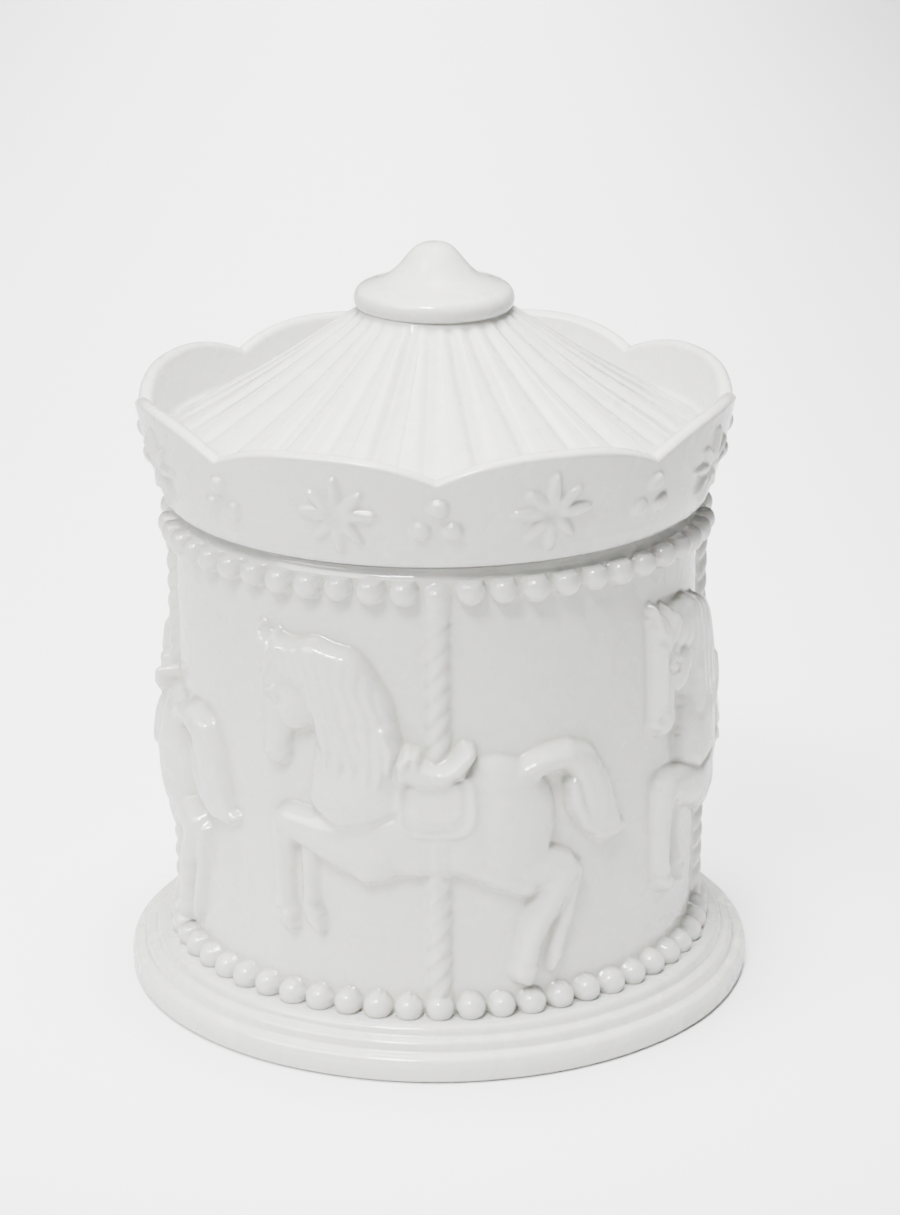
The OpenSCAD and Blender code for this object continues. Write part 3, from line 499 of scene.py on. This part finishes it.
def build_canopy():
    azimuth = columns()

    def under(r):
        return ROOF_IN[1] - (r - ROOF_IN[0]) * ROOF_SLOPE - ROOF_THICKNESS

    seat = [(26.5, under(26.5)), (26.5, 118), (32.5, 118), (32.5, 114.6), (35.5, 114.6), (35.5, under(35.5))]
    rings = [ring(azimuth, r, z) for r, z in [(0, 148), (2.5, 147), (6, 142.5), (11, 140.4), (15, under(15)),
                                              *seat, (53.3, under(53.3)), (52.7, CANOPY_Z + 0.6)]]
    foot = chaikin([(52.7, CANOPY_Z + 0.3), (53.2, CANOPY_Z), (55, CANOPY_Z), (55.8, CANOPY_Z + 0.1),
                    (BAND_R[0], BAND_LOW)])
    rings += [ring(azimuth, r, z) for r, z in foot[:-1]]
    edge = scallop(azimuth)
    rows = int(round(22 / STEP))
    share = np.arange(rows + 1) / rows
    z = BAND_LOW + np.outer(share, edge - RIM - BAND_LOW)
    a = np.tile(azimuth, (rows + 1, 1))
    decor = blur(band_decor(a, z), 0.2 / STEP, True)
    band = np.interp(z, BAND_Z, BAND_R) + decor + sway(a, z, 0.1)
    first_band = len(rings)
    rings += [ring(azimuth, band[i], z[i]) for i in range(rows + 1)]
    turn = np.linspace(0, math.pi, 10)[1:]
    lip = np.interp(edge - RIM, BAND_Z, BAND_R) + 0.3 - RIM
    rings += [ring(azimuth, lip + RIM * math.cos(t), edge - RIM + RIM * math.sin(t)) for t in turn]
    back = np.linspace(0, 1, 14)[1:]
    rings += [ring(azimuth, (lip - RIM) * (1 - t) + GUTTER_R * t, (edge - RIM) * (1 - t) + GUTTER_Z * t)
              for t in back]
    radii = np.linspace(56, ROOF_IN[0], int(round(48 / STEP)))
    tent = np.array([roof_height(azimuth, r) for r in radii]) + sway(*np.meshgrid(azimuth, radii), 0.1)
    first_roof = len(rings)
    rings += [ring(azimuth, r, tent[i]) for i, r in enumerate(radii)]
    finial = chaikin([(15.0, 142.9), (15.9, 142.5), (16.5, 143.4), (16.5, 145.1), (15.7, 146.5),
                      (13.9, 147.2), (11.4, 147.9), (9.2, 149.1), (7.2, 151.0), (5.5, 153.1), (3.9, 154.8),
                      (2.0, 155.6), (0, 155.7)])
    lean = 0.25 * np.sin(azimuth * 2 + 0.7) + 0.15 * np.sin(azimuth * 3)
    rings += [ring(azimuth, r + lean * min(1, r / 8), z) for r, z in finial]
    thing, starts = skin("canopy_glaze", rings, closed=False)
    # Depth in the hollows of the band and roof, which the glaze turns into darker colour: partly glaze
    # pooling, partly painted shade
    pooling_and_shade = np.zeros(len(thing.data.vertices))
    for first, field in ((first_band, decor), (first_roof, tent - np.mean(tent, axis=1, keepdims=True))):
        cavity = hollows(field, STEP)
        pooling_and_shade[starts[first]: starts[first] + cavity.size] = cavity.ravel()
    paint(thing, "pooling_and_shade", pooling_and_shade)
    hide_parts("canopy_casting")
    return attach(thing, "canopy")


# ---- Materials ----


class Shader:
    """A material's node tree with short calls for the nodes used here."""

    def __init__(self, name):
        self.material = bpy.data.materials.new(name)
        self.material.use_nodes = True
        self.tree = self.material.node_tree
        self.surface = self.tree.nodes["Principled BSDF"]

    def node(self, kind, **settings):
        made = self.tree.nodes.new(kind)
        for key, value in settings.items():
            setattr(made, key, value)
        return made

    def link(self, source, target):
        self.tree.links.new(source, target)

    def place(self):
        return self.node("ShaderNodeTexCoord").outputs["Object"]

    def noise(self, scale, detail=3.0, stretch=(1, 1, 1)):
        mapping = self.node("ShaderNodeMapping")
        mapping.inputs["Scale"].default_value = stretch
        self.link(self.place(), mapping.inputs["Vector"])
        made = self.node("ShaderNodeTexNoise")
        made.inputs["Scale"].default_value = scale
        made.inputs["Detail"].default_value = detail
        self.link(mapping.outputs["Vector"], made.inputs["Vector"])
        return made.outputs["Fac"]

    def spread(self, source, low, high, to_low=0.0, to_high=1.0):
        made = self.node("ShaderNodeMapRange")
        for name, value in zip(("From Min", "From Max", "To Min", "To Max"), (low, high, to_low, to_high)):
            made.inputs[name].default_value = value
        self.link(source, made.inputs["Value"])
        return made.outputs["Result"]

    def mix(self, share, a, b):
        made = self.node("ShaderNodeMix", data_type="RGBA")
        for socket, value in ((made.inputs[0], share), (made.inputs[6], a), (made.inputs[7], b)):
            if isinstance(value, bpy.types.NodeSocket):
                self.link(value, socket)
            else:
                socket.default_value = value if isinstance(value, float) else (*value, 1.0)
        return made.outputs[2]

    def bump(self, source, distance, strength=1.0, under=None):
        made = self.node("ShaderNodeBump")
        made.inputs["Distance"].default_value = distance
        made.inputs["Strength"].default_value = strength
        self.link(source, made.inputs["Height"])
        if under is not None:
            self.link(under, made.inputs["Normal"])
        return made.outputs["Normal"]

    def set(self, **values):
        for key, value in values.items():
            socket = self.surface.inputs[key.replace("_", " ")]
            if isinstance(value, bpy.types.NodeSocket):
                self.link(value, socket)
            else:
                socket.default_value = value if isinstance(value, float) else (*value, 1.0)


def glaze():
    """White glaze: clear gloss over an off-white body, darker and creamier in hollows, partly real glaze
    pooling and partly painted shade.
    """
    s = Shader("glazed_ceramic")
    pooling_and_shade = s.node("ShaderNodeAttribute", attribute_name="pooling_and_shade").outputs["Fac"]
    cloud = s.spread(s.noise(45, 4), 0.35, 0.68)
    body = s.mix(cloud, (0.646, 0.645, 0.611), (0.656, 0.656, 0.624))
    fine = s.spread(s.noise(900, 2), 0.62, 0.78)
    body = s.mix(s.spread(fine, 0, 1, 0, 0.10), body, (0.56, 0.555, 0.51))
    # Hollows turn darker and creamier: partly glaze pooling, partly painted shade in the creases
    body = s.mix(s.spread(pooling_and_shade, 0.08, 0.75, 0, 0.62), body, (0.56, 0.55, 0.47))
    rough = s.spread(s.noise(160, 3), 0.3, 0.7, 0.20, 0.34)
    wave = s.bump(s.noise(95, 2), 0.00035, 0.35)
    skin_bump = s.bump(s.noise(620, 3), 0.00006, 0.35, wave)
    s.set(Base_Color=body, Roughness=rough, Normal=skin_bump, Coat_Weight=1.0, Coat_Roughness=0.04,
          Coat_IOR=1.7, Subsurface_Weight=0.08, Subsurface_Scale=0.0012)
    s.link(skin_bump, s.surface.inputs["Coat Normal"])
    return s.material


def bisque():
    """The dry, wiped ring that the drum stands on."""
    s = Shader("bisque")
    grain = s.noise(1400, 4)
    stain = s.spread(s.noise(70, 4), 0.4, 0.7)
    colour = s.mix(stain, (0.74, 0.70, 0.63), (0.62, 0.56, 0.47))
    s.set(Base_Color=colour, Roughness=s.spread(grain, 0.3, 0.7, 0.75, 0.95),
          Normal=s.bump(grain, 0.0001, 0.6))
    return s.material


def metal(name, light, dark, low, high, stretch, scratch=0.00002):
    """A worked metal: fine tool marks, cloudy tarnish and uneven polish."""
    s = Shader(name)
    marks = s.noise(700, 4, stretch)
    cloud = s.spread(s.noise(90, 5), 0.38, 0.68)
    s.set(Base_Color=s.mix(cloud, light, dark), Metallic=1.0, Roughness=s.spread(marks, 0.3, 0.7, low, high),
          Normal=s.bump(marks, scratch, 0.5))
    return s.material


def dull(name, light, dark, rough, grain_scale, depth):
    """Board, fibre and rubber: matte, with grain and blotches."""
    s = Shader(name)
    grain = s.noise(grain_scale, 5)
    cloud = s.spread(s.noise(60, 4), 0.35, 0.7)
    s.set(Base_Color=s.mix(cloud, light, dark), Normal=s.bump(grain, depth, 0.6),
          Roughness=s.spread(grain, 0.3, 0.7, rough, min(1.0, rough + 0.2)))
    return s.material


def wear(thing, material):
    thing.data.materials.clear()
    thing.data.materials.append(material)


def dress_castings(drum, canopy):
    """Glazes both castings and leaves the ring that the drum stands on dry."""
    coat = glaze()
    for casting in (drum, canopy):
        wear(casting, coat)
    drum.data.materials.append(bisque())
    centres = np.empty(len(drum.data.polygons) * 3)
    drum.data.polygons.foreach_get("center", centres)
    centres = centres.reshape(-1, 3) / MM
    dry = (centres[:, 2] < 0.12) & (np.hypot(centres[:, 0], centres[:, 1]) > 57)
    drum.data.polygons.foreach_set("material_index", dry.astype(np.int32))


MATERIALS = {
    "brass": metal("brass", (0.80, 0.58, 0.26), (0.62, 0.42, 0.17), 0.18, 0.36, (1, 1, 6)),
    "cast_zinc": metal("cast_zinc", (0.62, 0.63, 0.65), (0.48, 0.49, 0.51), 0.38, 0.58, (1, 1, 1), 0.00006),
    "nickelled_steel": metal("nickelled_steel", (0.76, 0.74, 0.70), (0.66, 0.64, 0.60), 0.10, 0.22,
                             (1, 1, 3)),
    "steel": metal("steel", (0.60, 0.60, 0.62), (0.50, 0.50, 0.52), 0.20, 0.40, (6, 1, 1)),
    "blued_steel": metal("blued_steel", (0.15, 0.18, 0.27), (0.09, 0.10, 0.16), 0.22, 0.40, (1, 1, 4)),
    "black_board": dull("black_board", (0.030, 0.029, 0.028), (0.055, 0.052, 0.048), 0.75, 900, 0.00008),
    "red_fibre": dull("red_fibre", (0.42, 0.10, 0.07), (0.30, 0.07, 0.05), 0.65, 1200, 0.00006),
    "rubber": dull("rubber", (0.030, 0.030, 0.031), (0.050, 0.050, 0.050), 0.60, 1500, 0.00003),
}

dress_castings(build_drum(), build_canopy())
for part in frame["record"]["subparts"]:
    if part["material_slot"] in MATERIALS:
        wear(frame["nodes"][part["node"]], MATERIALS[part["material_slot"]])


# ---- Floor, light and camera ----

FLOOR_COLOUR = (0.83, 0.83, 0.83)


def build_floor():
    s = Shader("floor")
    s.set(Base_Color=FLOOR_COLOUR, Roughness=0.85)
    mesh = bpy.data.meshes.new("floor")
    half = 12.0
    mesh.from_pydata([(-half, -half, 0), (half, -half, 0), (half, half, 0), (-half, half, 0)], [],
                     [(0, 1, 2, 3)])
    floor = bpy.data.objects.new("floor", mesh)
    bpy.context.collection.objects.link(floor)
    wear(floor, s.material)


def aim(thing, place, target, roll=0.0):
    thing.location = place
    look = (Vector(target) - Vector(place)).to_track_quat("-Z", "Y")
    thing.rotation_mode = "QUATERNION"
    thing.rotation_quaternion = look @ Matrix.Rotation(roll, 3, "Z").to_quaternion()


def from_side(azimuth, height, distance):
    """A place at an azimuth and a height above the horizon, both in degrees."""
    a, h = math.radians(azimuth), math.radians(height)
    return (distance * math.cos(h) * math.sin(a), -distance * math.cos(h) * math.cos(a),
            distance * math.sin(h))


def add_light(name, kind, place, target, **settings):
    data = bpy.data.lights.new(name, kind)
    for key, value in settings.items():
        setattr(data, key, value)
    light = bpy.data.objects.new(name, data)
    bpy.context.collection.objects.link(light)
    aim(light, place, target)
    return light


def build_light():
    world = bpy.data.worlds.new("studio")
    world.use_nodes = True
    world.node_tree.nodes["Background"].inputs["Color"].default_value = (0.94, 0.96, 1.0, 1)
    world.node_tree.nodes["Background"].inputs["Strength"].default_value = 0.14
    bpy.context.scene.world = world
    middle = (0, 0, 0.07)
    # A gridded panel overhead: lights the roof and the floor, hardly the walls, and shows in no gloss
    softbox = add_light("overhead", "AREA", (-0.04, 0.72, 0.85), (-0.04, 0.72, 0), energy=14.2,
                        shape="RECTANGLE", size=0.46, size_y=1.9, spread=math.radians(34))
    softbox.visible_glossy = False
    add_light("sky", "SUN", from_side(-60, 44, 2), middle, energy=2.7, angle=math.radians(36))
    add_light("window", "AREA", from_side(-23, 53, 5), middle, energy=350, shape="RECTANGLE",
              size=1.2, size_y=1.2)


CAMERA_LENS, CAMERA_SENSOR = 103.73, 36
CAMERA_PLACE, CAMERA_TARGET = (0, -0.6936, 0.3111), (0.0027, 0, 0.0777)
CAMERA_ROLL = math.radians(-0.34)


def build_camera():
    data = bpy.data.cameras.new("camera")
    data.sensor_width = CAMERA_SENSOR
    data.lens = CAMERA_LENS
    data.clip_end = 60
    camera = bpy.data.objects.new("camera", data)
    bpy.context.collection.objects.link(camera)
    aim(camera, CAMERA_PLACE, CAMERA_TARGET, CAMERA_ROLL)
    bpy.context.scene.camera = camera


build_floor()
build_light()
build_camera()
